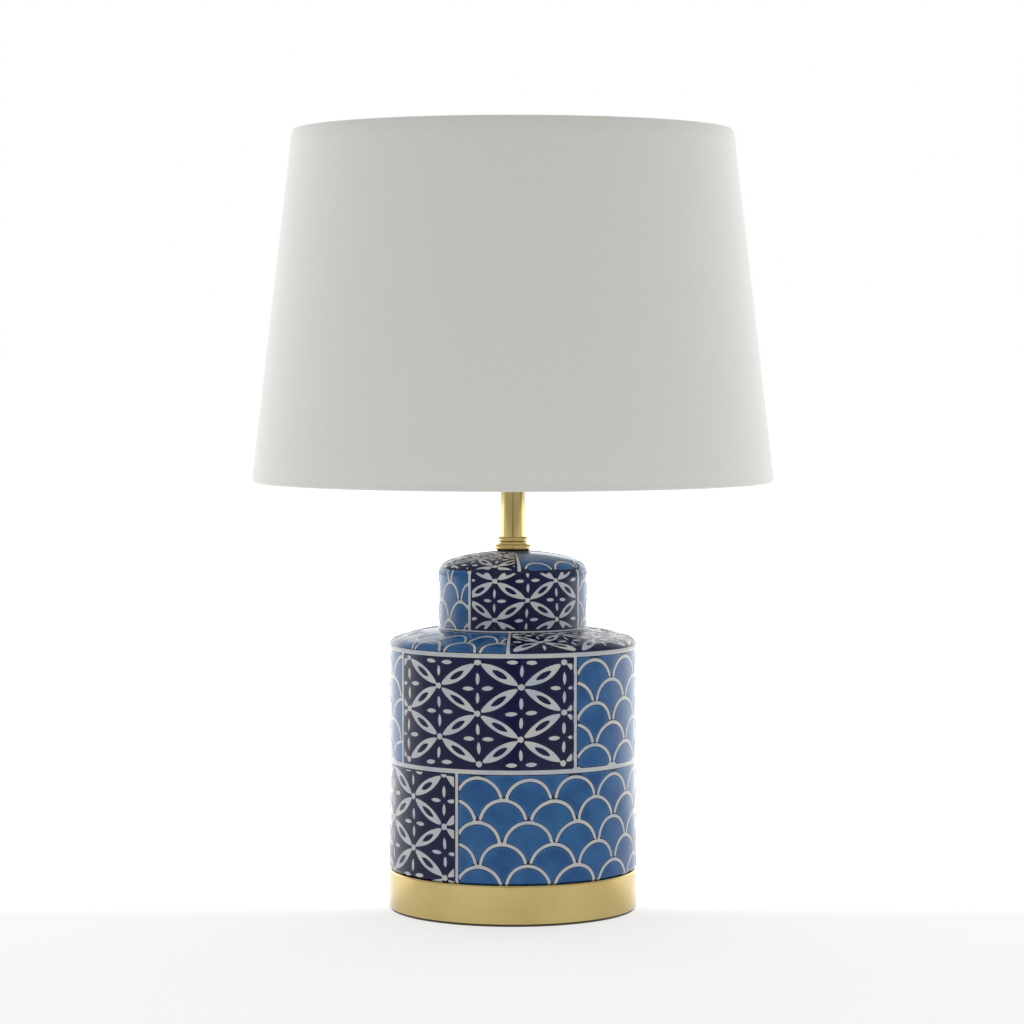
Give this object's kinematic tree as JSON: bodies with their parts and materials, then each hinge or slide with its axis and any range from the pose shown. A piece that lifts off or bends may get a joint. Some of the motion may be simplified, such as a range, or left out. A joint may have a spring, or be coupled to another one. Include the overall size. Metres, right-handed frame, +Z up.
{
  "type": "ceramic table lamp",
  "caption": "Jar-shaped glazed ceramic table lamp with a blue and white patchwork pattern, brass base and stem, and a tapered fabric shade.",
  "frame": {"origin": "centre of the felt underside, at the height of the surface that the lamp stands on", "axes": "+Z up along the stem, -Y towards the front of the decoration, +Y towards the cable outlet, +X towards the switch knob"},
  "size_m": [0.33, 0.33, 0.4929],
  "materials": {
    "polished_brass": "polished, warm",
    "glaze": "glossy glaze over a blue, navy and white patchwork pattern",
    "shade_cloth": "matt off-white plain weave",
    "felt": "matt felt",
    "board": "pressed fibreboard",
    "steel": "zinc plated",
    "black_rubber": "matt",
    "black_resin": "satin moulded resin",
    "porcelain": "unglazed electrical porcelain",
    "contact_brass": "pressed sheet brass",
    "white_wire": "white powder coat",
    "liner_sheet": "white styrene lining",
    "opal_glass": "opal, smooth",
    "cap_metal": "bright"
  },
  "bodies": {
    "stand": {"felt_pad": "felt", "bottom_board": "board", "brass_base": "polished_brass", "cable_bush": "black_resin", "bush_nut": "black_resin", "seat_ring": "black_rubber", "threaded_rod": "steel", "plate_washer": "steel", "lock_washer": "steel", "bottom_nut": "steel", "ceramic_jar": "glaze", "dome_washer": "black_rubber", "collar": "polished_brass", "stem_tube": "polished_brass", "stem_cup": "polished_brass", "top_nut": "steel", "holder_cap": "black_resin", "set_screw": "steel", "switch_block": "black_resin", "holder_core": "porcelain", "screw_shell": "contact_brass", "centre_contact": "contact_brass", "holder_sleeve": "black_resin"},
    "switch": {"switch_shaft": "contact_brass", "switch_knob": "black_resin"},
    "bulb": {"bulb_contact": "cap_metal", "bulb_insulator": "black_resin", "bulb_cap": "cap_metal", "bulb_glass": "opal_glass"},
    "clamp_ring": {"shade_ring": "black_resin"},
    "shade": {"fitter_ring": "white_wire", "fitter_arm_1": "white_wire", "fitter_arm_2": "white_wire", "fitter_arm_3": "white_wire", "bottom_hoop": "white_wire", "top_hoop": "white_wire", "shade_liner": "liner_sheet", "shade_fabric": "shade_cloth"}
  },
  "joints": [
    {"name": "knob_turn", "type": "hinge", "parent": "stand", "child": "switch", "pos_m": [0.026, 0, 0.309], "axis": [1, 0, 0], "continuous": true},
    {"name": "bulb_out", "type": "slide", "parent": "stand", "child": "bulb", "axis": [0, 0, 1], "range_m": [0, 0.165]},
    {"name": "clamp_ring_turn", "type": "hinge", "parent": "stand", "child": "clamp_ring", "pos_m": [0, 0, 0.3257], "axis": [0, 0, 1], "continuous": true},
    {"name": "shade_turn", "type": "hinge", "parent": "stand", "child": "shade", "pos_m": [0, 0, 0.3215], "axis": [0, 0, 1], "continuous": true}
  ]
}
